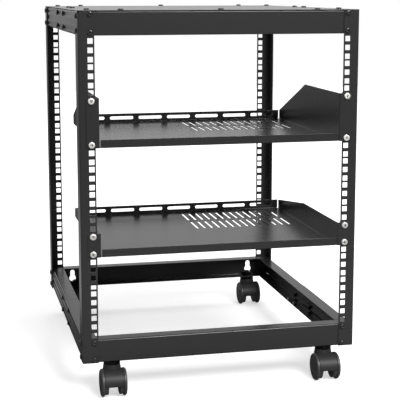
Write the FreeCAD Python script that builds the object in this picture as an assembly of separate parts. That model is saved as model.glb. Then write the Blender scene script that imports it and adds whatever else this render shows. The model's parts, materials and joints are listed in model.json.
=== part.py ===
import FreeCAD, Part
import math
import os

# Four post open frame rack, twelve rack units high, on four hooded twin-wheel casters.
# Millimetres, +Z up. -Y is the front, where the shelves are screwed on. The origin is on
# the floor, in the middle of the ground that the rack covers with its casters trailing forward.

# Rack hole grid
unit_height = 44.45
rack_units = 12
first_hole_height = 6.35
hole_step = 15.875
holes_in_a_unit = 3
hole_side = 9.5
column_inset = 21.45

# Frame
frame_width = 508.0
frame_depth = 572.0
frame_clearance = 62.0
plain_post_end = 44.45
fold_radius = 1.0
post_sheet = 2.0
post_face = 28.7
post_side = 33.0
channel_sheet = 1.5
channel_height = 42.0
channel_flange = 25.0
channel_fit = 0.5
corner_relief = 1.5
post_corner_cut = 9.5
post_corner_drop = 4.0

# Side rails: two channels that slide past each other, web on web
rail_flange_gap = 1.0
rail_web_inset = 3.0
rail_web_to_rear = 25.0
rail_bolt_slot_width = 5.2
rail_middle_slot_width = 8.3
rail_slot_start = 30.0
rail_slot_to_rear = 30.0
rail_slot_spread = 25.4

# Top cover
cover_sheet = 1.2
cover_corner = 3.0

# Wall keyholes in the lower rear beam
keyhole_inset = 49.0
keyhole_head = 15.0
keyhole_slot = 10.0
keyhole_head_height = 14.0
keyhole_rise = 19.0

# Tray shelves
shelf_sheet = 1.5
shelf_post_gap = 5.3
shelf_depth = 375.0
ear_past_column = 8.75
ear_slot_width = 6.8
ear_slot_length = 10.0
lip_height = 14.5
upstand_height = 19.5
straight_side_depth = 200.0
corner_gap = 1.5
upper_shelf_level = 386.35
upper_side_height = 87.0
upper_screw_middle = 44.05
upper_screw_pitch = 76.2
lower_shelf_level = 192.55
lower_side_height = 42.7
lower_screw_middle = 21.85
lower_screw_pitch = 31.75

# Shelf slots
upstand_slot_pitch = 60.0
upstand_slot_length = 49.0
upstand_slot_width = 6.5
upstand_slot_drop = 8.8
vent_rows = 2
vent_pitch = 14.5
vent_width = 5.0
vent_length = 70.0
vent_start_x = 2.5
vent_side_margin = 25.0
vent_front = 199.0
vent_row_pitch = 84.0

# Casters
caster_inset = 54.0
stem_radius = 5.0
stem_collar_radius = 15.0
stem_collar_height = 6.0
stem_insert = 22.0
stem_thread_above_nut = 3.0
nut_across_flats = 17.0
nut_height = 8.0
swivel_gap = 0.5
trail = 15.0
wheel_radius = 25.0
wheel_width = 12.1
wheel_gap = 20.8
tread_radius = 22.2
rim_width = 4.6
rim_round = 1.5
hub_radius = 8.0
face_recess = 1.0
face_border = 4.0
axle_radius = 4.0
axle_cover = 3.0
running_fit = 0.08
hood_radius = 24.6
hood_wall = 1.4
hood_width = 34.0
hood_below_axle = 2.0
axle_boss_radius = 7.5
web_side_gap = 1.0
boss_top_radius = 15.0
boss_radius = 17.0
boss_height = 14.0
boss_foot_radius = 7.0

# Room that a cutter has beyond the sheet that it cuts
cut_margin = 1.0

# Places worked out from the sizes above
stem_setback = post_sheet + channel_flange / 2
front_reach = wheel_radius + trail - stem_setback
rear_reach = boss_radius - stem_setback
middle_y = (front_reach - rear_reach) / 2
front_y = middle_y - frame_depth / 2
rear_y = middle_y + frame_depth / 2
post_bottom = frame_clearance
field_bottom = post_bottom + plain_post_end
field_top = field_bottom + rack_units * unit_height
post_top = field_top + plain_post_end
outer_x = frame_width / 2
column_x = outer_x - column_inset
shelf_x = outer_x - post_face - shelf_post_gap
ear_x = column_x + ear_past_column
caster_x = outer_x - caster_inset
keyhole_x = outer_x - keyhole_inset
rail_x = outer_x - post_sheet
beam_x = rail_x - channel_sheet - channel_fit
beam_clear = post_sheet + channel_flange + corner_relief
lower_beam_z = post_bottom
upper_beam_z = post_top - channel_height
far = 4 * frame_depth


def vector(axis, u, v, w):
    """Point with w along the axis and (u, v) along the two others, in X, Y, Z order."""
    if axis == "X":
        return FreeCAD.Vector(w, u, v)
    if axis == "Y":
        return FreeCAD.Vector(u, w, v)
    return FreeCAD.Vector(u, v, w)


def prism(axis, corners, low, high):
    """Solid between low and high on the axis, with an outline of (u, v, corner radius)."""
    points = [vector(axis, u, v, low) for u, v, radius in corners]
    edges = []
    bounds = []
    for index, (u, v, radius) in enumerate(corners):
        here = points[index]
        back = (points[index - 1] - here).normalize()
        ahead = (points[(index + 1) % len(points)] - here).normalize()
        if radius == 0:
            bounds.append((here, here))
            continue
        half_angle = back.getAngle(ahead) / 2
        reach = radius / math.tan(half_angle)
        bisector = (back + ahead).normalize()
        start = here + back * reach
        end = here + ahead * reach
        middle = here + bisector * (radius / math.sin(half_angle) - radius)
        edges.append(Part.Arc(start, middle, end).toShape())
        bounds.append((start, end))
    for index, (start, end) in enumerate(bounds):
        following = bounds[(index + 1) % len(bounds)][0]
        if end.distanceToPoint(following) > 1e-6:
            edges.append(Part.LineSegment(end, following).toShape())
    outline = Part.Wire(Part.__sortEdges__(edges))
    return Part.Face(outline).extrude(vector(axis, 0, 0, high - low))


def box(x, y, z):
    """Box between the low and high values given for each axis."""
    size = [high - low for low, high in (x, y, z)]
    return Part.makeBox(*size, FreeCAD.Vector(x[0], y[0], z[0]))


def rod(axis, u, v, low, high, radius):
    """Round bar along an axis; it also cuts holes."""
    return Part.makeCylinder(radius, high - low, vector(axis, u, v, low), vector(axis, 0, 0, 1))


def slot(axis, u, v, length, width, low, high, upright=False):
    """Round-ended bar that cuts a slot, centred on (u, v), with its length along u or v."""
    half_u, half_v = (width / 2, length / 2) if upright else (length / 2, width / 2)
    end = width / 2
    corners = [
        (u - half_u, v - half_v, end),
        (u + half_u, v - half_v, end),
        (u + half_u, v + half_v, end),
        (u - half_u, v + half_v, end),
    ]
    return prism(axis, corners, low, high)


def across(shape):
    """The same shape on the other side of the rack."""
    return shape.mirror(FreeCAD.Vector(0, 0, 0), FreeCAD.Vector(1, 0, 0))


def behind(shape):
    """The same shape at the other end of the rack."""
    return shape.mirror(FreeCAD.Vector(0, middle_y, 0), FreeCAD.Vector(0, 1, 0))


def hole_heights():
    """Heights of the square holes of one post, from the lowest up."""
    heights = []
    for unit in range(rack_units):
        for step in range(holes_in_a_unit):
            unit_foot = field_bottom + unit * unit_height
            heights.append(unit_foot + first_hole_height + step * hole_step)
    return heights


def spread(middle, pitch):
    """Two places, half a pitch to each side of the middle."""
    return middle - pitch / 2, middle + pitch / 2


def front_right_post():
    """Folded angle with a column of square holes in its face."""
    outside_fold = fold_radius + post_sheet
    inner_edge = outer_x - post_face
    back_edge = front_y + post_side
    angle = prism("Z", [
        (inner_edge, front_y, 0),
        (outer_x, front_y, outside_fold),
        (outer_x, back_edge, 0),
        (outer_x - post_sheet, back_edge, 0),
        (outer_x - post_sheet, front_y + post_sheet, fold_radius),
        (inner_edge, front_y + post_sheet, 0),
    ], post_bottom, post_top)
    face = (front_y - post_sheet, front_y + 2 * post_sheet)
    cutters = []
    for height in hole_heights():
        x = (column_x - hole_side / 2, column_x + hole_side / 2)
        cutters.append(box(x, face, (height - hole_side / 2, height + hole_side / 2)))
    return angle.cut(Part.makeCompound(cutters))


def corner_notch():
    """Cutter of the sloping top corner that the front left and rear right posts have."""
    return prism("Y", [
        (outer_x + cut_margin, post_top - post_corner_drop, 0),
        (outer_x, post_top - post_corner_drop, 0),
        (outer_x - post_corner_cut, post_top, 0),
        (outer_x - post_corner_cut, post_top + cut_margin, 0),
        (outer_x + cut_margin, post_top + cut_margin, 0),
    ], front_y - cut_margin, front_y + post_sheet + fold_radius)


def channel(axis, face, towards, low_z, height, flange, low, high):
    """C section: its web stands on the face value, its flanges point towards +1 or -1."""
    outside_fold = fold_radius + channel_sheet
    tip = face + towards * flange
    inside = face + towards * channel_sheet
    top_z = low_z + height
    return prism(axis, [
        (tip, low_z, 0),
        (face, low_z, outside_fold),
        (face, top_z, outside_fold),
        (tip, top_z, 0),
        (tip, top_z - channel_sheet, 0),
        (inside, top_z - channel_sheet, fold_radius),
        (inside, low_z + channel_sheet, fold_radius),
        (tip, low_z + channel_sheet, 0),
    ], low, high)


def front_beam(low_z):
    """Cross channel behind the faces of the two front posts."""
    web_y = front_y + post_sheet
    return channel("X", web_y, 1, low_z, channel_height, channel_flange, -beam_x, beam_x)


def stem_holes(y):
    """Cutters of the holes that the caster stems pass through in a lower beam."""
    flange = (lower_beam_z - channel_sheet, lower_beam_z + 2 * channel_sheet)
    holes = [rod("Z", x, y, *flange, stem_radius) for x in (-caster_x, caster_x)]
    return Part.makeCompound(holes)


def keyholes():
    """Cutters of the two wall keyholes, round at the foot with a narrower slot above."""
    web = (rear_y - 2 * post_sheet - channel_sheet, rear_y)
    cutters = []
    for x in (-keyhole_x, keyhole_x):
        head_z = lower_beam_z + keyhole_head_height
        tip_z = head_z + keyhole_rise
        cutters.append(rod("Y", x, head_z, *web, keyhole_head / 2))
        middle_z = (head_z + tip_z - keyhole_slot / 2) / 2
        length = tip_z - head_z + keyhole_slot / 2
        cutters.append(slot("Y", x, middle_z, length, keyhole_slot, *web, upright=True))
    return Part.makeCompound(cutters)


def rail(low_z, face, web_end):
    """Right side rail from the front: bare web at the post, C section to the middle, web beyond."""
    web_start = front_y + post_sheet + channel_sheet + channel_fit
    flange_start = front_y + beam_clear
    flange_end = middle_y - rail_flange_gap / 2
    flange = channel_flange - (rail_x - face)
    section = channel("Y", face, -1, low_z, channel_height, flange, flange_start, flange_end)
    web_z = (low_z + rail_web_inset, low_z + channel_height - rail_web_inset)
    web = box((face - channel_sheet, face), (web_start, web_end), web_z)
    return section.fuse(web).removeSplitter()


def rail_slots(low_z):
    """Cutters of the three slots along the web of a right front rail."""
    middle = low_z + channel_height / 2
    start = front_y + rail_slot_start
    end = rear_y - rail_slot_to_rear
    y = (start + end) / 2
    length = end - start
    web = (rail_x - channel_sheet - cut_margin, rail_x + cut_margin)
    cutters = [slot("X", y, middle, length, rail_middle_slot_width, *web)]
    for height in spread(middle, rail_slot_spread):
        cutters.append(slot("X", y, height, length, rail_bolt_slot_width, *web))
    return cutters


def front_rail(low_z):
    """Outer rail; the bolts that clamp the depth run in the slots of its web."""
    outer = rail(low_z, rail_x, rear_y - rail_web_to_rear)
    return outer.cut(Part.makeCompound(rail_slots(low_z)))


def rear_rail(low_z):
    """Inner rail, whose web lies against the inside of the outer rail's web."""
    return behind(rail(low_z, rail_x - channel_sheet, rear_y - beam_clear - corner_relief))


def top_cover():
    """Flat sheet on the upper beams and rails."""
    return prism("Z", [
        (-outer_x, front_y, cover_corner),
        (outer_x, front_y, cover_corner),
        (outer_x, rear_y, cover_corner),
        (-outer_x, rear_y, cover_corner),
    ], post_top, post_top + cover_sheet)


def shelf_ear(low_z, top_z, screw_z, screw_pitch):
    """Right ear of a shelf: it folds out of the tray's side and lies on the post's face."""
    outside_fold = fold_radius + shelf_sheet
    ear = prism("Z", [
        (shelf_x - shelf_sheet, front_y + outside_fold, 0),
        (shelf_x - shelf_sheet, front_y - shelf_sheet, outside_fold),
        (ear_x, front_y - shelf_sheet, 0),
        (ear_x, front_y, 0),
        (shelf_x, front_y, fold_radius),
        (shelf_x, front_y + outside_fold, 0),
    ], low_z, top_z)
    face = (front_y - shelf_sheet - cut_margin, front_y + outside_fold + cut_margin)
    cutters = []
    for height in spread(screw_z, screw_pitch):
        cutters.append(slot("Y", column_x, height, ear_slot_length, ear_slot_width, *face))
    return ear.cut(Part.makeCompound(cutters))


def vents(low_z):
    """Cutters of the two rows of slots in the right half of a shelf's floor."""
    sheet = (low_z - cut_margin, low_z + shelf_sheet + cut_margin)
    last = int((shelf_x - vent_side_margin - vent_start_x) / vent_pitch)
    cutters = []
    for row in range(vent_rows):
        y = front_y + vent_front + vent_length / 2 + row * vent_row_pitch
        for index in range(last + 1):
            x = vent_start_x + index * vent_pitch
            cutters.append(box(spread(x, vent_width), spread(y, vent_length), sheet))
    return cutters


def upstand_slots(low_z, back_y):
    """Cutters of the row of slots in a shelf's upstand, as many as its width holds."""
    z = low_z + upstand_height - upstand_slot_drop
    sheet = (back_y - shelf_sheet - cut_margin, back_y + cut_margin)
    count = int((2 * shelf_x - 2 * (fold_radius + shelf_sheet)) / upstand_slot_pitch)
    cutters = []
    for index in range(count):
        x = (index - (count - 1) / 2) * upstand_slot_pitch
        cutters.append(slot("Y", x, z, upstand_slot_length, upstand_slot_width, *sheet))
    return cutters


def shelf(low_z, side_height, screw_middle, screw_pitch):
    """Tray folded from one sheet: front lip, sloped sides with ears, and a slotted upstand."""
    outside_fold = fold_radius + shelf_sheet
    back_y = front_y + shelf_depth
    side_front = front_y + outside_fold
    side_back = back_y - shelf_sheet - corner_gap
    inner_x = shelf_x - shelf_sheet
    top_z = low_z + side_height
    rim_z = low_z + upstand_height
    trough = prism("Y", [
        (-shelf_x, top_z, 0),
        (-shelf_x, low_z, outside_fold),
        (shelf_x, low_z, outside_fold),
        (shelf_x, top_z, 0),
        (inner_x, top_z, 0),
        (inner_x, low_z + shelf_sheet, fold_radius),
        (-inner_x, low_z + shelf_sheet, fold_radius),
        (-inner_x, top_z, 0),
    ], side_front, side_back)
    slope = prism("X", [
        (front_y + straight_side_depth, top_z, 0),
        (side_back, rim_z, 0),
        (side_back + cut_margin, rim_z, 0),
        (side_back + cut_margin, top_z + cut_margin, 0),
        (front_y + straight_side_depth, top_z + cut_margin, 0),
    ], -shelf_x - cut_margin, shelf_x + cut_margin)
    free_x = inner_x - outside_fold
    lip = prism("X", [
        (front_y - shelf_sheet, low_z + lip_height, 0),
        (front_y - shelf_sheet, low_z, outside_fold),
        (side_front + shelf_sheet, low_z, 0),
        (side_front + shelf_sheet, low_z + shelf_sheet, 0),
        (front_y, low_z + shelf_sheet, fold_radius),
        (front_y, low_z + lip_height, 0),
    ], -free_x, free_x)
    upstand = prism("X", [
        (back_y, rim_z, 0),
        (back_y, low_z, outside_fold),
        (side_back - outside_fold, low_z, 0),
        (side_back - outside_fold, low_z + shelf_sheet, 0),
        (back_y - shelf_sheet, low_z + shelf_sheet, fold_radius),
        (back_y - shelf_sheet, rim_z, 0),
    ], -free_x, free_x)
    flat_x = (corner_gap - inner_x, inner_x - corner_gap)
    lip_flat = box(flat_x, (front_y - shelf_sheet, front_y), (low_z + outside_fold, low_z + lip_height))
    upstand_flat = box(flat_x, (back_y - shelf_sheet, back_y), (low_z + outside_fold, rim_z))
    ear = shelf_ear(low_z, top_z, low_z + screw_middle, screw_pitch)
    tray = trough.cut(slope).fuse([lip, lip_flat, upstand, upstand_flat, ear, across(ear)])
    cutters = vents(low_z) + upstand_slots(low_z, back_y)
    return tray.cut(Part.makeCompound(cutters)).removeSplitter()


def turned(profile, x, y, z, towards):
    """Solid of revolution about an axle along X; the profile holds (distance along, radius)."""
    points = [FreeCAD.Vector(x + towards * along, y, z + radius) for along, radius in profile]
    face = Part.Face(Part.makePolygon(points + points[:1]))
    return face.revolve(FreeCAD.Vector(x, y, z), FreeCAD.Vector(1, 0, 0), 360)


def caster_stem(x, y):
    """Fixed stem: collar under the beam, swivel pin below it and threaded end above it."""
    collar_bottom = frame_clearance - stem_collar_height
    thread_top = frame_clearance + channel_sheet + nut_height + stem_thread_above_nut
    pin = rod("Z", x, y, collar_bottom - swivel_gap - stem_insert, thread_top, stem_radius)
    return pin.fuse(rod("Z", x, y, collar_bottom, frame_clearance, stem_collar_radius)).removeSplitter()


def stem_nut(x, y):
    """Hexagon nut on the stem's thread, on the inside of the beam."""
    seat = frame_clearance + channel_sheet
    corner_radius = nut_across_flats / 2 / math.cos(math.pi / 6)
    points = []
    for corner in range(6):
        angle = corner * math.pi / 3
        points.append((x + corner_radius * math.cos(angle), y + corner_radius * math.sin(angle), 0))
    blank = prism("Z", points, seat, seat + nut_height)
    return blank.cut(rod("Z", x, y, seat - cut_margin, seat + nut_height + cut_margin, stem_radius))


def caster_housing(x, y):
    """Moulded hood with a middle web that holds the axle, and a boss that turns on the stem."""
    axle_y = y - trail
    axle_z = wheel_radius
    boss_top = frame_clearance - stem_collar_height - swivel_gap
    web_half = wheel_gap / 2 - web_side_gap
    drum = rod("X", axle_y, axle_z, x - hood_width / 2, x + hood_width / 2, hood_radius)
    below = box((x - far, x + far), (y - far, y + far), (axle_z - far, axle_z - hood_below_axle))
    axle_boss = rod("X", axle_y, axle_z, x - web_half, x + web_half, axle_boss_radius)
    boss_foot = boss_top - boss_height
    boss = Part.makeCone(boss_radius, boss_top_radius, boss_height, FreeCAD.Vector(x, y, boss_foot))
    taper = Part.makeCone(boss_foot_radius, boss_radius, boss_foot - axle_z, FreeCAD.Vector(x, y, axle_z))
    body = drum.cut(below).fuse([axle_boss, boss, taper])
    cutters = []
    for low, high in ((x - hood_width, x - web_half), (x + web_half, x + hood_width)):
        cutters.append(rod("X", axle_y, axle_z, low, high, hood_radius - hood_wall))
    bore_foot = boss_top - stem_insert - swivel_gap
    cutters.append(rod("Z", x, y, bore_foot, boss_top + cut_margin, stem_radius + running_fit))
    cutters.append(rod("X", axle_y, axle_z, x - far, x + far, axle_radius))
    for cutter in cutters:
        body = body.cut(cutter)
    return body.removeSplitter()


def caster_axle(x, y):
    """Axle through the web, with an end in each wheel."""
    reach = wheel_gap / 2 + wheel_width - axle_cover - swivel_gap
    return rod("X", y - trail, wheel_radius, x - reach, x + reach, axle_radius)


def caster_wheel(x, y, towards):
    """Wheel with a tread under the hood, a wider rim outside it and a recessed outer face."""
    inner = wheel_gap / 2
    outer = inner + wheel_width
    rim_start = outer - rim_width
    profile = [
        (inner, 0),
        (inner, tread_radius),
        (rim_start, tread_radius),
        (rim_start, wheel_radius),
        (outer - rim_round, wheel_radius),
        (outer, wheel_radius - rim_round),
        (outer, wheel_radius - face_border),
        (outer - face_recess, wheel_radius - face_border),
        (outer - face_recess, hub_radius),
        (outer, hub_radius),
        (outer, 0),
    ]
    wheel = turned(profile, x, y - trail, wheel_radius, towards)
    bore_end = outer - axle_cover
    ends = sorted((x + towards * (inner - cut_margin), x + towards * bore_end))
    return wheel.cut(rod("X", y - trail, wheel_radius, *ends, axle_radius + running_fit))


def parts():
    """Every named piece of the rack."""
    pieces = {}
    post = front_right_post()
    pieces["post_front_right"] = post
    cut_post = post.cut(corner_notch())
    pieces["post_front_left"] = across(cut_post)
    pieces["post_rear_right"] = behind(cut_post)
    pieces["post_rear_left"] = across(behind(post))
    pieces["beam_front_top"] = front_beam(upper_beam_z)
    pieces["beam_rear_top"] = behind(pieces["beam_front_top"])
    pieces["beam_front_bottom"] = front_beam(lower_beam_z).cut(stem_holes(front_y + stem_setback))
    pieces["beam_rear_bottom"] = behind(pieces["beam_front_bottom"]).cut(keyholes())
    for height, low_z in (("top", upper_beam_z), ("bottom", lower_beam_z)):
        for place, side_rail in (("front", front_rail(low_z)), ("rear", rear_rail(low_z))):
            pieces[f"rail_right_{height}_{place}"] = side_rail
            pieces[f"rail_left_{height}_{place}"] = across(side_rail)
    pieces["top_cover"] = top_cover()
    upper_z = post_bottom + upper_shelf_level
    lower_z = post_bottom + lower_shelf_level
    pieces["shelf_upper"] = shelf(upper_z, upper_side_height, upper_screw_middle, upper_screw_pitch)
    pieces["shelf_lower"] = shelf(lower_z, lower_side_height, lower_screw_middle, lower_screw_pitch)
    nuts = []
    for end, y in (("front", front_y + stem_setback), ("rear", rear_y - stem_setback)):
        for side, x in (("left", -caster_x), ("right", caster_x)):
            name = f"caster_{end}_{side}"
            pieces[f"{name}_stem"] = caster_stem(x, y)
            pieces[f"{name}_housing"] = caster_housing(x, y)
            pieces[f"{name}_axle"] = caster_axle(x, y)
            pieces[f"{name}_wheel_left"] = caster_wheel(x, y, -1)
            pieces[f"{name}_wheel_right"] = caster_wheel(x, y, 1)
            nuts.append(stem_nut(x, y))
    pieces["caster_nuts"] = Part.makeCompound(nuts)
    return pieces


os.makedirs("parts", exist_ok=True)
for name, shape in parts().items():
    shape.exportStep(os.path.join("parts", name + ".step"))
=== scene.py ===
# %% [markdown]
# # A four post open frame rack on casters
# This notebook dresses a finished CAD model of a twelve unit equipment rack: it adds the
# bolts, screws and nuts, gives every part its paint, nylon or zinc, and sets a small studio
# around it. The CAD model comes first, because every other piece takes its place from it.

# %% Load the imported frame
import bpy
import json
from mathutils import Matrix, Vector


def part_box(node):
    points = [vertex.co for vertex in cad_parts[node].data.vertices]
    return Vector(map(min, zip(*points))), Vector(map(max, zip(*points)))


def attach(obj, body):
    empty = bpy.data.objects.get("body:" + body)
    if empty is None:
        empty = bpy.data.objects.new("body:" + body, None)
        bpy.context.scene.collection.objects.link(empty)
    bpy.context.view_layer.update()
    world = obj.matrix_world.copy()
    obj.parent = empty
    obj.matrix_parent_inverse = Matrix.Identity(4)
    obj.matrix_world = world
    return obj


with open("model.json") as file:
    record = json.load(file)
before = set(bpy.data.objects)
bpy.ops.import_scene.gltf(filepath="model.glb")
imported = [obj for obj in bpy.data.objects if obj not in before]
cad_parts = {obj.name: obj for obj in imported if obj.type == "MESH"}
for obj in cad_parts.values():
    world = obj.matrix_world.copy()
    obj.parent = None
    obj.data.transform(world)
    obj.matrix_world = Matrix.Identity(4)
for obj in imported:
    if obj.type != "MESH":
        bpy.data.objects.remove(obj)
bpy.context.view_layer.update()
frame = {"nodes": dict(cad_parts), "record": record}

# %% Modules and the millimetre
import json
import math

import bpy
from mathutils import Matrix, Vector

MM = 0.001
nodes = frame["nodes"]

# %% [markdown]
# ## Where things are
# The rack has four corner posts with square holes, cross channels between them and a flat cover
# on top. The planes of the posts, the beams and the cover are read from the CAD nodes' boxes, so
# nothing has to be typed in twice. The column of square holes is 465.1 mm from its twin, which
# is the rule for all 19 inch racks.

# %% Planes of the frame
front_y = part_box("post_front_left")[0].y
rear_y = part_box("post_rear_left")[1].y
outer_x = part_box("post_front_right")[1].x
post_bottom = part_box("post_front_left")[0].z
post_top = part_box("post_front_left")[1].z
cover_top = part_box("top_cover")[1].z
middle_y = (front_y + rear_y) / 2
hole_column_x = 465.1 * MM / 2
flange_middle_x = 232.0 * MM
post_sheet, rail_sheet = 2.0 * MM, 1.5 * MM
print("front", round(front_y, 4), "rear", round(rear_y, 4), "half width", round(outer_x, 4))
print("posts from", round(post_bottom, 4), "to", round(post_top, 4))

# %% [markdown]
# ## Shared effects
# Powder coat, moulded nylon and zinc share their effects: a fine bump, a lighter tone along the
# edges, which is partly wear from handling and partly a painted highlight, and a slow drift of
# tone and gloss. Each effect is a node group that is built once and gives out masks and values.
# The Principled shader stays in each material, where its own sockets set what is the same all
# over the part.

# %% A helper that starts a node group
def new_group(name, inputs, outputs):
    group = bpy.data.node_groups.new(name, "ShaderNodeTree")
    for kind, rows in (("INPUT", inputs), ("OUTPUT", outputs)):
        for label, socket, value in rows:
            item = group.interface.new_socket(label, in_out=kind, socket_type=socket)
            if value is not None:
                item.default_value = value
    entry = group.nodes.new("NodeGroupInput")
    leave = group.nodes.new("NodeGroupOutput")
    return group, entry, leave


FLOAT, VECTOR = "NodeSocketFloat", "NodeSocketVector"
print("Group helper ready")

# %% A helper for sums
def math_node(tree, operation, first, second=None, clamp=False):
    node = tree.nodes.new("ShaderNodeMath")
    node.operation = operation
    node.use_clamp = clamp
    for index, value in enumerate((first, second)):
        if value is None:
            continue
        if isinstance(value, (int, float)):
            node.inputs[index].default_value = value
        else:
            tree.links.new(value, node.inputs[index])
    return node.outputs[0]


print("Sum helper ready")

# %% Helpers for ranges and noise
def remap(tree, value, low, high, new_low, new_high):
    node = tree.nodes.new("ShaderNodeMapRange")
    for index, item in enumerate((value, low, high, new_low, new_high)):
        if isinstance(item, (int, float)):
            node.inputs[index].default_value = item
        else:
            tree.links.new(item, node.inputs[index])
    return node.outputs[0]


def noise(tree, place, scale, detail=2.0, roughness=0.5):
    node = tree.nodes.new("ShaderNodeTexNoise")
    node.inputs["Detail"].default_value = detail
    node.inputs["Roughness"].default_value = roughness
    tree.links.new(place, node.inputs["Vector"])
    if isinstance(scale, (int, float)):
        node.inputs["Scale"].default_value = scale
    else:
        tree.links.new(scale, node.inputs["Scale"])
    return node.outputs["Fac"]


print("Range and noise helpers ready")

# %% [markdown]
# ### Edge wear and painted edge highlight
# A Bevel node rounds the normal near an edge. Where the rounded normal parts from the true
# one there is an edge, so their dot product makes a mask without any extra geometry. The mask
# lightens the tone along the edge, which is partly wear and partly a painted highlight. A noise
# breaks the mask up, because no edge is polished evenly. The rounded normal goes out as well:
# it gives each sheet edge the soft bright line that paint has there.

# %% Group: edge wear and painted edge highlight
edge_wear_and_highlight, entry, leave = new_group(
    "Edge wear and highlight",
    [("Radius", FLOAT, 0.0006), ("Break up scale", FLOAT, 60.0)],
    [("Mask", FLOAT, None), ("Normal", VECTOR, None)],
)
coordinates = edge_wear_and_highlight.nodes.new("ShaderNodeTexCoord")
bevel = edge_wear_and_highlight.nodes.new("ShaderNodeBevel")
bevel.samples = 6
edge_wear_and_highlight.links.new(entry.outputs["Radius"], bevel.inputs["Radius"])
geometry = edge_wear_and_highlight.nodes.new("ShaderNodeNewGeometry")
dot = edge_wear_and_highlight.nodes.new("ShaderNodeVectorMath")
dot.operation = "DOT_PRODUCT"
edge_wear_and_highlight.links.new(bevel.outputs["Normal"], dot.inputs[0])
edge_wear_and_highlight.links.new(geometry.outputs["Normal"], dot.inputs[1])
edge = remap(edge_wear_and_highlight, dot.outputs["Value"], 0.98, 0.75, 0.0, 1.0)
patches = noise(edge_wear_and_highlight, coordinates.outputs["Object"], entry.outputs["Break up scale"], 4.0)
broken = remap(edge_wear_and_highlight, patches, 0.35, 0.65, 0.25, 1.0)
edge_wear_and_highlight.links.new(math_node(edge_wear_and_highlight, "MULTIPLY", edge, broken), leave.inputs["Mask"])
edge_wear_and_highlight.links.new(bevel.outputs["Normal"], leave.inputs["Normal"])
print("Edge wear and highlight gives", [s.name for s in leave.inputs if s.name])

# %% [markdown]
# ### Grain
# Powder coat melts into a skin like orange peel, with bumps about a millimetre across, and
# moulded nylon has a finer spark texture. Both are a Noise texture at two sizes, added up as a
# height. Another, very slow noise is the drift of tone and gloss over a hand's breadth.

# %% Group: grain and drift
grain, entry, leave = new_group(
    "Grain",
    [("Grain size", FLOAT, 0.0012), ("Drift size", FLOAT, 0.08)],
    [("Height", FLOAT, None), ("Drift", FLOAT, None)],
)
coordinates = grain.nodes.new("ShaderNodeTexCoord")
place = coordinates.outputs["Object"]
coarse_scale = math_node(grain, "DIVIDE", 1.0, entry.outputs["Grain size"])
fine_scale = math_node(grain, "MULTIPLY", coarse_scale, 3.3)
coarse = noise(grain, place, coarse_scale, 1.0)
fine = noise(grain, place, fine_scale, 2.0)
fine_share = math_node(grain, "MULTIPLY", fine, 0.35)
grain.links.new(math_node(grain, "ADD", coarse, fine_share), leave.inputs["Height"])
drift_scale = math_node(grain, "DIVIDE", 1.0, entry.outputs["Drift size"])
grain.links.new(noise(grain, place, drift_scale, 1.0), leave.inputs["Drift"])
print("Grain gives", [s.name for s in leave.inputs if s.name])

# %% [markdown]
# ### Settled dust
# Casters run close to the floor, so a thin film of dust lies on those faces of their hoods that
# look up. The mask is the upward part of the normal times a cloudy noise. It only lifts the
# tone and dulls the gloss a little, since this rack is new.

# %% Group: settled dust
dust, entry, leave = new_group(
    "Settled dust",
    [("Amount", FLOAT, 0.2)],
    [("Mask", FLOAT, None)],
)
coordinates = dust.nodes.new("ShaderNodeTexCoord")
geometry = dust.nodes.new("ShaderNodeNewGeometry")
split = dust.nodes.new("ShaderNodeSeparateXYZ")
dust.links.new(geometry.outputs["Normal"], split.inputs[0])
upward = remap(dust, split.outputs["Z"], 0.6, 1.0, 0.0, 1.0)
clouds = remap(dust, noise(dust, coordinates.outputs["Object"], 6.0, 2.0), 0.2, 0.8, 0.2, 1.0)
film = math_node(dust, "MULTIPLY", upward, clouds)
dust.links.new(math_node(dust, "MULTIPLY", film, entry.outputs["Amount"]), leave.inputs["Mask"])
print("Dust gives", [s.name for s in leave.inputs if s.name])

# %% [markdown]
# ### Painted shade in hollows
# The cross recess of a screw is painted darker than its head, as painted shade. An
# Ambient Occlusion node tells how closed a place is, which finds hollows of any shape.

# %% Group: painted shade in hollows
hollow_shade, entry, leave = new_group(
    "Painted shade in hollows",
    [("Reach", FLOAT, 0.002)],
    [("Mask", FLOAT, None)],
)
closed = hollow_shade.nodes.new("ShaderNodeAmbientOcclusion")
closed.samples = 8
hollow_shade.links.new(entry.outputs["Reach"], closed.inputs["Distance"])
# Closed places take the painted shade.
hollow_shade.links.new(remap(hollow_shade, closed.outputs["AO"], 0.25, 0.6, 1.0, 0.0), leave.inputs["Mask"])
print("Hollow shade gives", [s.name for s in leave.inputs if s.name])

# %% [markdown]
# ## Materials
# One function lays out the nodes that all finishes share, and each finish passes its own
# colours, gloss and grain. What is constant over the whole part, such as the index of
# refraction, is set straight on the shader's sockets.

# %% A helper that builds one finish
def add_group(tree, group, **values):
    node = tree.nodes.new("ShaderNodeGroup")
    node.node_tree = group
    for label, value in values.items():
        node.inputs[label.replace("_", " ")].default_value = value
    return node


def mix_color(tree, factor, first, second):
    node = tree.nodes.new("ShaderNodeMix")
    node.data_type = "RGBA"
    for index, value in ((0, factor), (6, first), (7, second)):
        if isinstance(value, bpy.types.NodeSocket):
            tree.links.new(value, node.inputs[index])
        else:
            node.inputs[index].default_value = value
    return node.outputs[2]


print("Material helpers ready")

# %% The finish builder
DUST_GREY = (0.22, 0.21, 0.2, 1.0)
# Tone of the painted shade in hollows.
HOLLOW_SHADE_GREY = (0.06, 0.06, 0.06, 1.0)


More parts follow.
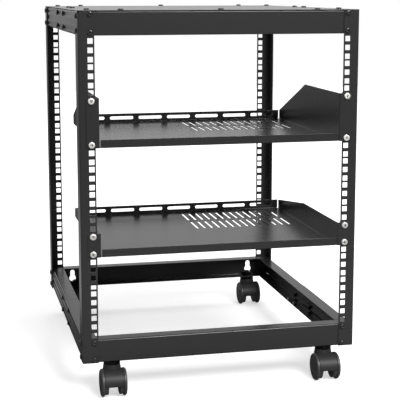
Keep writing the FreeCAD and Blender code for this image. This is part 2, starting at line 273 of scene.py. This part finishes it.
def finish(name, color, drifted, worn_and_lit, roughness, grain_size, bump, dust_amount=0.0,
           metallic=0.0, ior=1.5, edge_radius=0.0006, hollow_shade_reach=0.0, gloss_drift=0.1):
    material = bpy.data.materials.new(name)
    material.use_nodes = True
    tree = material.node_tree
    shader = tree.nodes["Principled BSDF"]
    shader.inputs["IOR"].default_value = ior
    shader.inputs["Metallic"].default_value = metallic
    skin = add_group(tree, grain, Grain_size=grain_size)
    edges = add_group(tree, edge_wear_and_highlight, Radius=edge_radius)
    tone = mix_color(tree, skin.outputs["Drift"], (*color, 1.0), (*drifted, 1.0))
    # Along the edges the tone turns lighter: partly wear, partly a painted highlight.
    tone = mix_color(tree, edges.outputs["Mask"], tone, (*worn_and_lit, 1.0))
    gloss = remap(tree, skin.outputs["Drift"], 0.1, 0.9,
                  roughness * (1.0 - gloss_drift), roughness * (1.0 + gloss_drift))
    if dust_amount:
        film = add_group(tree, dust, Amount=dust_amount)
        tone = mix_color(tree, film.outputs["Mask"], tone, DUST_GREY)
        gloss = math_node(tree, "ADD", gloss, film.outputs["Mask"], clamp=True)
    # Painted shade: an ambient occlusion mask darkens hollows such as the cross recess.
    if hollow_shade_reach:
        hollows = add_group(tree, hollow_shade, Reach=hollow_shade_reach)
        tone = mix_color(tree, hollows.outputs["Mask"], tone, HOLLOW_SHADE_GREY)
    bumps = tree.nodes.new("ShaderNodeBump")
    bumps.inputs["Strength"].default_value = bump
    bumps.inputs["Distance"].default_value = grain_size * 0.25
    tree.links.new(skin.outputs["Height"], bumps.inputs["Height"])
    tree.links.new(edges.outputs["Normal"], bumps.inputs["Normal"])
    tree.links.new(tone, shader.inputs["Base Color"])
    tree.links.new(gloss, shader.inputs["Roughness"])
    tree.links.new(bumps.outputs["Normal"], shader.inputs["Normal"])
    return material


print("Finish builder ready")

# %% [markdown]
# ### The finishes of the rack
# The frame and the shelves have a smooth semi-gloss black powder coat in one even tone, since a
# drift would show as clouds on such large flat sheets. The coat is close to black when seen
# square on and mirrors its surroundings at a grazing angle, which comes from the plain index
# of 1.5. The caster hoods are a satin black nylon, and the wheels a slightly greyer one.

# %% Make the coat and the nylons
powder_coat = finish(
    "black_powder_coat", color=(0.016, 0.016, 0.0165), drifted=(0.016, 0.016, 0.0165),
    worn_and_lit=(0.05, 0.05, 0.05), roughness=0.26, grain_size=0.0016, bump=0.02, gloss_drift=0.0)
hood_nylon = finish(
    "black_hood_nylon", color=(0.014, 0.014, 0.0145), drifted=(0.02, 0.02, 0.0205),
    worn_and_lit=(0.05, 0.05, 0.05), roughness=0.48, grain_size=0.0007, bump=0.08,
    dust_amount=0.02, ior=1.38)
wheel_nylon = finish(
    "black_wheel_nylon", color=(0.03, 0.03, 0.0305), drifted=(0.042, 0.042, 0.0415),
    worn_and_lit=(0.06, 0.058, 0.056), roughness=0.42, grain_size=0.0009, bump=0.12)
print(powder_coat.name, hood_nylon.name, wheel_nylon.name)

# %% [markdown]
# ### The finishes of the fasteners
# The clinch nuts behind the bolts and the stems, nuts and axles of the casters have a black
# zinc coat. The cage nuts and the spare nuts in the low flanges have a bright one. The shelf
# screws are nickel plated, with painted shade in the recess, and the frame bolts are blackened.

# %% Make the platings
SMALL_EDGE = 0.0003
black_zinc = finish(
    "black_zinc_plate", color=(0.012, 0.012, 0.0125), drifted=(0.02, 0.02, 0.021),
    worn_and_lit=(0.12, 0.12, 0.12), roughness=0.36, grain_size=0.0006, bump=0.08,
    metallic=1.0, edge_radius=SMALL_EDGE)
zinc_plate = finish(
    "zinc_plate", color=(0.52, 0.53, 0.54), drifted=(0.6, 0.6, 0.6),
    worn_and_lit=(0.7, 0.7, 0.7), roughness=0.34, grain_size=0.0006, bump=0.08,
    metallic=1.0, edge_radius=SMALL_EDGE)
nickel_plate = finish(
    "nickel_plate", color=(0.84, 0.83, 0.81), drifted=(0.9, 0.89, 0.87),
    worn_and_lit=(0.94, 0.93, 0.91), roughness=0.55, grain_size=0.0005, bump=0.04,
    metallic=1.0, edge_radius=SMALL_EDGE, hollow_shade_reach=0.0025)
black_screw = finish(
    "blackened_screw", color=(0.008, 0.008, 0.0085), drifted=(0.014, 0.014, 0.0145),
    worn_and_lit=(0.12, 0.12, 0.12), roughness=0.2, grain_size=0.0005, bump=0.05,
    ior=1.6, edge_radius=SMALL_EDGE)
print(len(bpy.data.materials), "materials in the file")

# %% Give the CAD nodes their finishes
slot_finish = {
    "powder_coat": powder_coat,
    "caster_hood": hood_nylon,
    "caster_wheel": wheel_nylon,
    "zinc_steel": black_zinc,
}
for row in frame["record"]["subparts"]:
    node = nodes[row["node"]]
    for place in node.material_slots:
        place.material = slot_finish[row["material_slot"]]
print("Dressed", len(nodes), "CAD nodes")

# %% [markdown]
# ## Fasteners
# The rack is bolted together with black button head bolts, and the shelves hang on bright
# pan head screws in cage nuts. Every fastener is modelled once, at the origin with its seat at
# zero and its head upwards, and is then copied to each place. All copies of one kind are
# joined, which keeps the list of pieces short. Bolts could be shown as dots of colour, but real
# heads catch the light at their rims, so each is a full shape.

# %% Helpers that start a solid and pick faces
def begin(name, radius, depth, foot, sides=24):
    bpy.ops.object.select_all(action="DESELECT")
    bpy.ops.mesh.primitive_cylinder_add(
        vertices=sides, radius=radius, depth=depth, location=(0.0, 0.0, foot + depth / 2))
    piece = bpy.context.object
    piece.name = name
    bpy.ops.object.transform_apply(location=True, rotation=True, scale=True)
    return piece


def looks_up(face):
    return face.normal.z > 0.99


def looks_down(face):
    return face.normal.z < -0.99


print("Start and face helpers ready")

# %% Editing helpers
def edit_faces(piece, wanted):
    bpy.ops.object.select_all(action="DESELECT")
    piece.select_set(True)
    bpy.context.view_layer.objects.active = piece
    bpy.context.tool_settings.mesh_select_mode = (False, False, True)
    for item in (*piece.data.vertices, *piece.data.edges, *piece.data.polygons):
        item.select = False
    for face in piece.data.polygons:
        face.select = wanted(face)
    bpy.ops.object.mode_set(mode="EDIT")


def leave_edit():
    bpy.ops.object.mode_set(mode="OBJECT")


def extrude(height):
    bpy.ops.mesh.extrude_region_move(TRANSFORM_OT_translate={"value": (0, 0, height)})


def resize_face(x_factor, y_factor):
    bpy.ops.transform.resize(value=(x_factor, y_factor, 1.0))


print("Editing helpers ready")

# %% Boolean and join helpers
def cut_away(piece, cutter):
    modifier = piece.modifiers.new("cut", "BOOLEAN")
    modifier.operation = "DIFFERENCE"
    modifier.solver = "EXACT"
    modifier.object = cutter
    bpy.context.view_layer.objects.active = piece
    bpy.ops.object.modifier_apply(modifier="cut")
    bpy.data.objects.remove(cutter)


def join(pieces, name):
    bpy.ops.object.select_all(action="DESELECT")
    for piece in pieces:
        piece.select_set(True)
    bpy.context.view_layer.objects.active = pieces[0]
    bpy.ops.object.join()
    pieces[0].name = name
    return pieces[0]


def smooth(piece, degrees=32.0):
    bpy.ops.object.select_all(action="DESELECT")
    piece.select_set(True)
    bpy.context.view_layer.objects.active = piece
    bpy.ops.object.shade_smooth_by_angle(angle=math.radians(degrees))


print("Boolean and join helpers ready")

# %% [markdown]
# ### Threaded shank
# A thread shows wherever a bolt end sticks out behind the sheet. A true helix is not worth its
# faces at this size, so the shank is drawn as a stack of ridges: the end face is extruded and
# drawn in to the root of the thread, then extruded and let out again, once for each turn. The
# last step draws the tip in.

# %% A shank with ridges
ROOT = 0.86
TIP = 0.7


def shank(radius, turns, pitch):
    piece = begin("shank", radius, pitch / 2, -pitch / 2, sides=16)
    edit_faces(piece, looks_down)
    for factor in (ROOT, 1 / ROOT) * turns:
        extrude(-pitch / 2)
        resize_face(factor, factor)
    extrude(-pitch / 2)
    resize_face(TIP, TIP)
    leave_edit()
    return piece


print("Shank helper ready")

# %% [markdown]
# ### Button head bolt
# The head starts as a short cylinder. A bevel of its top rim with five segments gives the low
# dome, and a six sided cylinder cuts the key socket. A clinch nut, which is a round collar that
# is pressed into the inner sheet, takes the shank.

# %% Model the frame bolt
frame_bolt_head = begin("bolt_head", radius=5.0 * MM, depth=2.8 * MM, foot=0.0, sides=28)
edit_faces(frame_bolt_head, looks_up)
bpy.ops.mesh.bevel(offset=2.1 * MM, segments=5, profile=0.55, affect="EDGES")
leave_edit()
socket = begin("socket", radius=1.9 * MM, depth=3.0 * MM, foot=1.1 * MM, sides=6)
cut_away(frame_bolt_head, socket)
bolt_shank = shank(radius=2.4 * MM, turns=9, pitch=0.8 * MM)
frame_bolt = join([frame_bolt_head, bolt_shank], "frame_bolt")
smooth(frame_bolt)
print("Frame bolt:", len(frame_bolt.data.polygons), "faces")

# %% Model the clinch nut
def clinch_nut():
    collar = begin("clinch_nut", radius=4.2 * MM, depth=2.2 * MM, foot=-2.2 * MM, sides=24)
    edit_faces(collar, looks_down)
    for step_in, step_down in ((0.7 * MM, 1.6 * MM), (0.35 * MM, 0.3 * MM)):
        bpy.ops.mesh.inset(thickness=step_in)
        extrude(-step_down)
    leave_edit()
    bore = begin("bore", radius=2.45 * MM, depth=8.0 * MM, foot=-6.0 * MM, sides=16)
    cut_away(collar, bore)
    smooth(collar)
    return collar


frame_nut = clinch_nut()
print("Clinch nut:", len(frame_nut.data.polygons), "faces")

# %% [markdown]
# ### Shelf screw
# A pan head has a flatter top and a small rounded rim, and a cross recess for the tool. The
# cross is cut with two tapered bars, each a block whose foot is drawn in, and a tapered pit in
# the middle, where the four wings of the tool meet.

# %% Model the shelf screw
def recess_bar(length, width):
    bpy.ops.object.select_all(action="DESELECT")
    bpy.ops.mesh.primitive_cube_add(size=1.0, location=(0.0, 0.0, 2.7 * MM))
    bar = bpy.context.object
    bar.scale = (length, width, 3.8 * MM)
    bpy.ops.object.transform_apply(location=True, rotation=True, scale=True)
    edit_faces(bar, looks_down)
    resize_face(0.45, 0.7)
    leave_edit()
    return bar


screw_head = begin("screw_head", radius=5.9 * MM, depth=3.6 * MM, foot=0.0, sides=32)
edit_faces(screw_head, looks_up)
bpy.ops.mesh.bevel(offset=2.0 * MM, segments=5, profile=0.6, affect="EDGES")
leave_edit()
wing_span, wing_width = 7.0 * MM, 1.6 * MM
cut_away(screw_head, recess_bar(wing_span, wing_width))
cut_away(screw_head, recess_bar(wing_width, wing_span))
print("Screw head with a cross:", len(screw_head.data.polygons), "faces")

# %% The pit in the middle of the cross, and the shank
pit = begin("pit", radius=1.9 * MM, depth=4.0 * MM, foot=0.9 * MM, sides=16)
edit_faces(pit, looks_down)
resize_face(0.4, 0.4)
leave_edit()
cut_away(screw_head, pit)
screw_shank = shank(radius=2.9 * MM, turns=13, pitch=1.0 * MM)
shelf_screw = join([screw_head, screw_shank], "shelf_screw")
smooth(shelf_screw)
print("Shelf screw:", len(shelf_screw.data.polygons), "faces")

# %% [markdown]
# ### Cage nut
# A cage nut is a square nut held loosely in a spring steel cage behind the post. The cage is a
# square cup with a round hole for the screw. It is made from a block by an inset and an
# extrusion inwards, and the nut stands a little proud of it at the back.

# %% Model the cage
def block(name, x, y, z, foot):
    bpy.ops.object.select_all(action="DESELECT")
    bpy.ops.mesh.primitive_cube_add(size=1.0, location=(0.0, 0.0, foot + z / 2))
    piece = bpy.context.object
    piece.name = name
    piece.scale = (x, y, z)
    bpy.ops.object.transform_apply(location=True, rotation=True, scale=True)
    return piece


def through_bore(radius):
    return begin("bore", radius, depth=12.0 * MM, foot=-9.0 * MM)


cage = block("cage", x=13.6 * MM, y=12.0 * MM, z=5.2 * MM, foot=-5.2 * MM)
edit_faces(cage, looks_down)
bpy.ops.mesh.inset(thickness=0.8 * MM)
extrude(1.0 * MM)
leave_edit()
cut_away(cage, through_bore(3.6 * MM))
print("Cage:", len(cage.data.polygons), "faces")

# %% The square nut in its cage
square_nut = block("square_nut", x=10.2 * MM, y=10.2 * MM, z=4.6 * MM, foot=-6.0 * MM)
edit_faces(square_nut, looks_down)
bpy.ops.mesh.bevel(offset=0.7 * MM, segments=2, affect="EDGES")
leave_edit()
cut_away(square_nut, through_bore(2.95 * MM))
cage_nut = join([cage, square_nut], "cage_nut")
smooth(cage_nut)
print("Cage nut:", len(cage_nut.data.polygons), "faces")

# %% [markdown]
# ## Placing the fasteners
# A place is a point on the sheet and the direction that the head faces. The master is copied
# with its own mesh, turned so that its top looks that way, and moved there inside the mesh, so
# the object itself stays at the origin. All copies of a set become one piece on the frame body.

# %% Copy a master to many places
BACK, FRONT = (0, 1, 0), (0, -1, 0)
LEFT, RIGHT = (-1, 0, 0), (1, 0, 0)
UP, DOWN = (0, 0, 1), (0, 0, -1)


def turn_to(direction):
    return Vector(direction).to_track_quat("Z", "Y").to_matrix().to_4x4()


def set_of(master, name, places, material):
    copies = []
    for point, direction, twist in places:
        copy = master.copy()
        copy.data = master.data.copy()
        bpy.context.collection.objects.link(copy)
        spin = Matrix.Rotation(twist, 4, "Z")
        copy.data.transform(Matrix.Translation(Vector(point)) @ turn_to(direction) @ spin)
        copies.append(copy)
    piece = join(copies, name)
    piece.data.materials.clear()
    piece.data.materials.append(material)
    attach(piece, "frame")
    print(name, "holds", len(places), "copies and", len(piece.data.polygons), "faces")


print("Placing helper ready")

# %% [markdown]
# ### Bolts of the posts, the rails and the cover
# Two bolts at each beam end go through the post's face, and two at each rail end through its
# side flange. Four clamp bolts in the slots of each side rail hold the depth. The cover is held
# by fourteen bolts along its edge: three over each beam and four over each rail. The bolts
# are turned by different angles, as when they are tightened by hand, and each has a clinch nut
# on the far side of the sheets that it grips.

# %% A list of bolts and nuts
bolts, nuts = [], []


def add_bolt(point, direction, grip):
    turn = math.radians(37.0 * len(bolts) % 90.0)
    bolts.append((point, direction, turn))
    inner = Vector(point) - Vector(direction) * grip
    nuts.append((inner, direction, turn))


def pair_about(middle, reach):
    return middle - reach, middle + reach


print("Bolt helpers ready")

# %% Bolts at the ends of the beams
beam_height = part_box("beam_front_top")[1].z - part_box("beam_front_top")[0].z
beam_middles = (post_bottom + beam_height / 2, post_top - beam_height / 2)
beam_bolt_reach = 15.75 * MM
for middle in beam_middles:
    for x in (-hole_column_x, hole_column_x):
        for z in pair_about(middle, beam_bolt_reach):
            add_bolt((x, front_y, z), FRONT, post_sheet + rail_sheet)
            add_bolt((x, rear_y, z), BACK, post_sheet + rail_sheet)
print(len(bolts), "bolts hold the beams")

# %% Bolts at the ends of the side rails and the clamp bolts
rail_face_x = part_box("rail_right_top_front")[1].x
from_corner = 17.0 * MM
rail_bolt_reach, clamp_reach = 12.7 * MM, 50.0 * MM
for middle in beam_middles:
    for side, direction in ((-1, LEFT), (1, RIGHT)):
        post_x, rail_x = side * outer_x, side * rail_face_x
        for z in pair_about(middle, rail_bolt_reach):
            add_bolt((post_x, front_y + from_corner, z), direction, post_sheet + rail_sheet)
            add_bolt((post_x, rear_y - from_corner, z), direction, post_sheet + 2 * rail_sheet)
            for y in pair_about(middle_y, clamp_reach):
                add_bolt((rail_x, y, z), direction, 2 * rail_sheet)
print(len(bolts), "bolts with those of the rails")

# %% Bolts of the cover
cover_grip = cover_top - post_top + rail_sheet
from_edge, from_end = 10.5 * MM, 50.0 * MM
for x in (-178.0 * MM, 0.0, 178.0 * MM):
    for y in (front_y + from_edge, rear_y - from_edge):
        add_bolt((x, y, cover_top), UP, cover_grip)
for x in (-flange_middle_x, flange_middle_x):
    for y in (front_y + from_end, *pair_about(middle_y, 30.0 * MM), rear_y - from_end):
        add_bolt((x, y, cover_top), UP, cover_grip)
set_of(frame_bolt, "frame_bolts", bolts, black_screw)
print(len(bolts), "bolts with those of the cover")

# %% [markdown]
# ### Spare nuts
# The low flange of each bottom rail carries two more nuts a little behind the middle, with
# nothing screwed into them. A foot or a cable tray can be fixed there. They are the same clinch
# nut turned to face down, in a bright plating.

# %% Nuts in the low flanges
spares = []
for x in (-flange_middle_x, flange_middle_x):
    for y in (middle_y + 6.0 * MM, middle_y + 44.0 * MM):
        spares.append(((x, y, post_bottom + rail_sheet), DOWN, 0.0))
set_of(frame_nut, "clinch_nuts", nuts, black_zinc)
set_of(frame_nut, "flange_nuts", spares, zinc_plate)
print(len(nuts) + len(spares), "clinch nuts in all")

# %% [markdown]
# ### Screws of the shelves
# Each shelf ear takes two screws. Their cage nuts sit behind the post in its square holes. The
# upper shelf has tall ears, so its screws stand further apart, which keeps a heavy load level.

# %% Place the shelf screws and cage nuts
screws, cages = [], []
upper_screws = ("shelf_upper", 44.05 * MM, 76.2 * MM)
lower_screws = ("shelf_lower", 21.85 * MM, 31.75 * MM)
for shelf, screw_middle, pitch in (upper_screws, lower_screws):
    shelf_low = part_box(shelf)[0]
    for x in (-hole_column_x, hole_column_x):
        for z in pair_about(shelf_low.z + screw_middle, pitch / 2):
            turn = math.radians(31.0 * len(screws) % 90.0)
            screws.append(((x, shelf_low.y, z), FRONT, turn))
            cages.append(((x, front_y + post_sheet, z), FRONT, 0.0))
set_of(shelf_screw, "shelf_screws", screws, nickel_plate)
set_of(cage_nut, "cage_nuts", cages, zinc_plate)
print("Each shelf hangs on", len(screws) // 2, "screws")

# %% Remove the masters
for master in (frame_bolt, frame_nut, shelf_screw, cage_nut):
    bpy.data.objects.remove(master)

# %% [markdown]
# ## The studio
# The rack stands on a plain pale floor in a white room. Gloss black paint shows little of its
# own colour and much of what stands around it, so the room decides how the rack looks: in a real
# studio the side behind the camera is darkened with cloth, and the back wall is left white.

# %% Floor
bpy.ops.object.select_all(action="DESELECT")
bpy.ops.mesh.primitive_plane_add(size=12.0, location=(0.0, 0.0, 0.0))
floor = bpy.context.object
floor.name = "studio_floor"
floor_material = bpy.data.materials.new("studio_floor")
floor_material.use_nodes = True
floor_tree = floor_material.node_tree
floor_shader = floor_tree.nodes["Principled BSDF"]
floor_shader.inputs["Base Color"].default_value = (0.82, 0.82, 0.82, 1.0)
floor_shader.inputs["Roughness"].default_value = 0.9
floor_shader.inputs["Specular IOR Level"].default_value = 0.1
floor.data.materials.append(floor_material)
print("Floor of", round(floor.dimensions.x, 1), "m")

# %% [markdown]
# To the camera the floor runs out to white, as paper does on a product picture. Near the rack
# less light is added to its own shading, so the shadow stays, and the share grows with the
# distance. Glossy rays meet another floor instead. It is nearly black under the rack, where the
# rack's own shade lies, grey around it, and darker again far away, which keeps the flanks of
# the rack dark. Neither adds any light to the rack's own colours.

# %% Helpers for emission and for joining two shaders
def emission(tree, strength):
    node = tree.nodes.new("ShaderNodeEmission")
    node.inputs["Color"].default_value = (1.0, 1.0, 1.0, 1.0)
    if isinstance(strength, (int, float)):
        node.inputs["Strength"].default_value = strength
    else:
        tree.links.new(strength, node.inputs["Strength"])
    return node.outputs["Emission"]


def connect(tree, shader, factor, first, second):
    if factor is not None:
        tree.links.new(factor, shader.inputs[0])
    tree.links.new(first, shader.inputs[-2])
    tree.links.new(second, shader.inputs[-1])
    return shader.outputs["Shader"]


print("Shader helpers ready")

# %% White floor for the camera
floor_path = floor_tree.nodes.new("ShaderNodeLightPath")
floor_place = floor_tree.nodes.new("ShaderNodeTexCoord").outputs["Object"]
length = floor_tree.nodes.new("ShaderNodeVectorMath")
length.operation = "LENGTH"
floor_tree.links.new(floor_place, length.inputs[0])
away = length.outputs["Value"]
white_part = remap(floor_tree, away, 0.5, 2.0, 0.55, 1.0)
seen_white = math_node(floor_tree, "MULTIPLY", white_part, floor_path.outputs["Is Camera Ray"])
lifted = connect(floor_tree, floor_tree.nodes.new("ShaderNodeAddShader"), None,
                 floor_shader.outputs["BSDF"], emission(floor_tree, seen_white))
print("Floor runs out to white for the camera")

# %% Grey floor for glossy rays
rack_shade = remap(floor_tree, away, 0.35, 0.55, 0.05, 0.45)
fading = remap(floor_tree, away, 0.9, 2.5, 1.0, 0.35)
mirrored_floor = emission(floor_tree, math_node(floor_tree, "MULTIPLY", rack_shade, fading))
floor_surface = connect(floor_tree, floor_tree.nodes.new("ShaderNodeMixShader"),
                        floor_path.outputs["Is Glossy Ray"], lifted, mirrored_floor)
floor_tree.links.new(floor_surface, floor_tree.nodes["Material Output"].inputs["Surface"])
print("Floor is dark in reflections under the rack")

# %% [markdown]
# The world is plain white to the camera. As a light it is weaker, which leaves the modelling of
# the shapes to the lamps. In reflections it is white at the foot of the back wall, about half
# as bright high up, darker just below the horizon, and dark on the side of the camera.

# %% The room as reflections show it
world = bpy.data.worlds.new("white_room")
bpy.context.scene.world = world
world.use_nodes = True
room = world.node_tree
background = room.nodes["Background"]
background.inputs["Color"].default_value = (1.0, 1.0, 1.0, 1.0)
direction = room.nodes.new("ShaderNodeSeparateXYZ")
room.links.new(room.nodes.new("ShaderNodeTexCoord").outputs["Generated"], direction.inputs[0])
back_wall = remap(room, direction.outputs["Y"], -0.5, 0.5, 0.2, 1.0)
high_wall = remap(room, direction.outputs["Z"], 0.12, 0.3, 1.0, 0.55)
skirting = remap(room, direction.outputs["Z"], -0.03, 0.015, 0.25, 1.0)
wall = math_node(room, "MULTIPLY", back_wall, high_wall)
mirrored_room = math_node(room, "MULTIPLY", wall, skirting)
print("Room is dark in front and white behind")

# %% The room as the camera sees it and as a light
LIGHT_OF_ROOM = 0.35
room_path = room.nodes.new("ShaderNodeLightPath")
seen = math_node(room, "MAXIMUM", room_path.outputs["Is Camera Ray"],
                 room_path.outputs["Is Transmission Ray"])
as_light = remap(room, seen, 0.0, 1.0, LIGHT_OF_ROOM, 1.0)
room_mix = room.nodes.new("ShaderNodeMix")
room.links.new(room_path.outputs["Is Glossy Ray"], room_mix.inputs[0])
room.links.new(as_light, room_mix.inputs[2])
room.links.new(mirrored_room, room_mix.inputs[3])
room.links.new(room_mix.outputs[0], background.inputs["Strength"])
print("World is white to the camera and", LIGHT_OF_ROOM, "as a light")

# %% [markdown]
# A wide soft lamp in front and a little to the right draws the bright lines along the folded
# edges and over the caster hoods. A fill lamp opens the left flank, and a lamp overhead lights
# the cover and the trays.

# %% Soft lamps
def soft_lamp(name, place, aim, size, power):
    lamp = bpy.data.lights.new(name, "AREA")
    lamp.shape = "DISK"
    lamp.size = size
    lamp.energy = power
    holder = bpy.data.objects.new(name, lamp)
    bpy.context.collection.objects.link(holder)
    holder.location = place
    holder.rotation_euler = (Vector(aim) - Vector(place)).to_track_quat("-Z", "Y").to_euler()


soft_lamp("key_lamp", place=(0.7, -2.3, 2.05), aim=(0.0, 0.0, 0.1), size=1.4, power=98.0)
soft_lamp("fill_lamp", place=(-2.4, -1.4, 1.6), aim=(0.0, 0.0, 0.35), size=2.0, power=14.0)
soft_lamp("top_lamp", place=(0.0, 0.9, 2.8), aim=(0.0, 0.0, 0.6), size=1.8, power=18.0)
print("Three soft lamps")

# %% [markdown]
# ## Camera
# The camera stands to the left of the front, a little above the top of the rack, and looks
# slightly down. A small vertical shift keeps the posts nearly upright in the frame.

# %% Camera
camera_data = bpy.data.cameras.new("camera")
camera = bpy.data.objects.new("camera", camera_data)
bpy.context.collection.objects.link(camera)
camera_data.lens = 103.3
camera_data.sensor_width = 36.0
camera_data.shift_y = -0.075
camera_data.clip_start = 0.05
yaw = math.radians(12.98)
pitch = math.radians(-8.87)
camera.location = (-0.492, -2.235, 0.718)
camera.rotation_euler = (math.radians(90.0) + pitch, 0.0, -yaw)
bpy.context.scene.camera = camera
print("Camera", [round(v, 3) for v in camera.location])

# %% [markdown]
# ## View transform
# The view transform is Standard, so that a colour comes out about as it is written.

# %% Finish
bpy.context.scene.view_settings.view_transform = "Standard"
